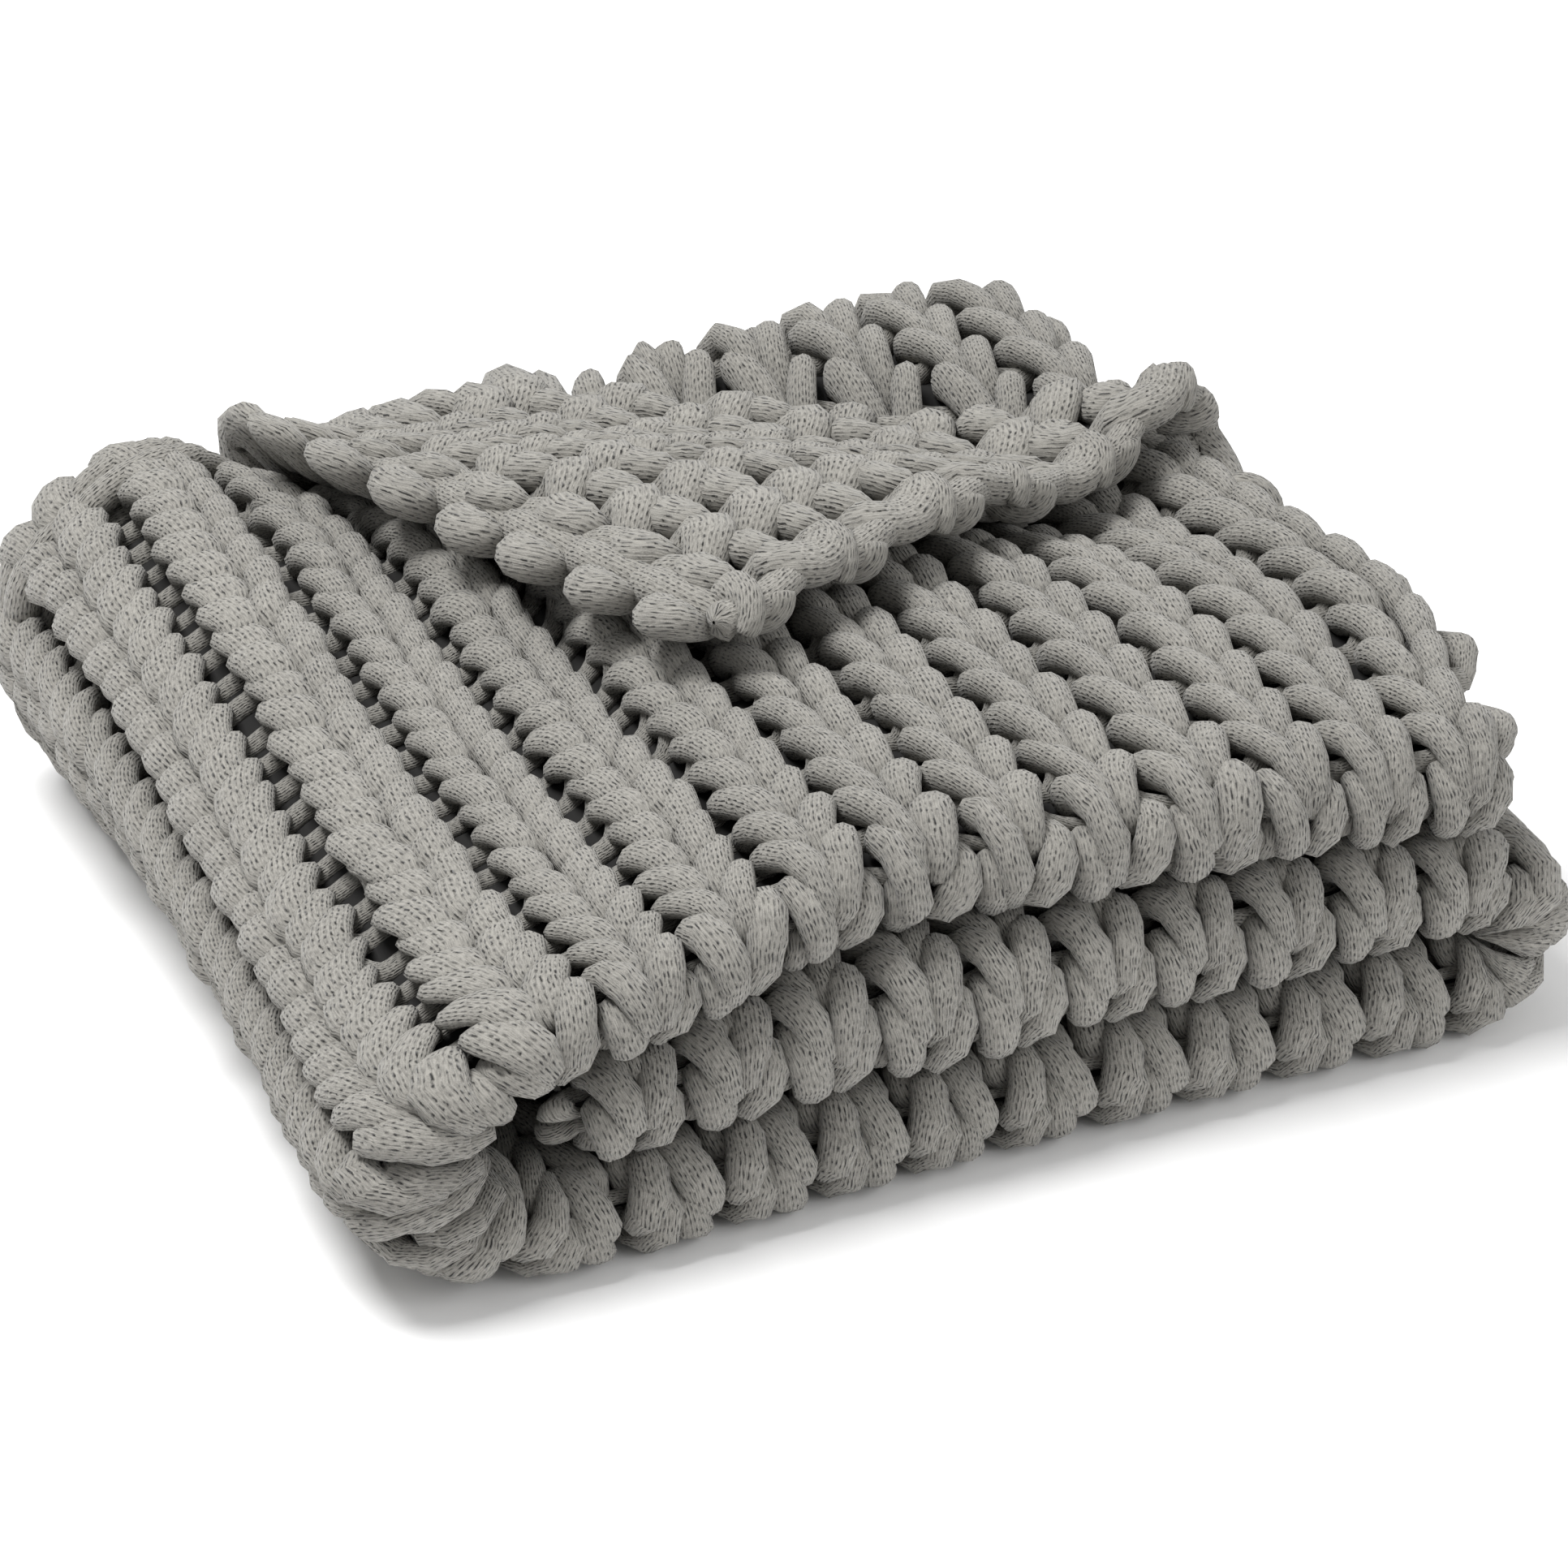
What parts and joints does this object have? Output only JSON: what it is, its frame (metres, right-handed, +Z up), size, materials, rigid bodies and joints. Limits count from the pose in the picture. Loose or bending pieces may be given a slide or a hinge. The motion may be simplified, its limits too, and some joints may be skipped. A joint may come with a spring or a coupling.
{
  "type": "throw blanket",
  "caption": "Chunky knit throw of thick tubular cord, doubled and folded into a stack, with one corner turned over on top.",
  "frame": {"origin": "middle of the footprint, on the surface the folded stack rests on", "axes": "+X along the three front bands toward the free end of the top panel, +Y from the front folds to the back edges, +Z up"},
  "size_m": [0.5954, 0.5602, 0.2097],
  "materials": {
    "knit_cord": "matte warm grey tubular knitted cord, worked in large stocking stitch"
  },
  "bodies": {
    "root": {"throw": "knit_cord"}
  },
  "joints": []
}
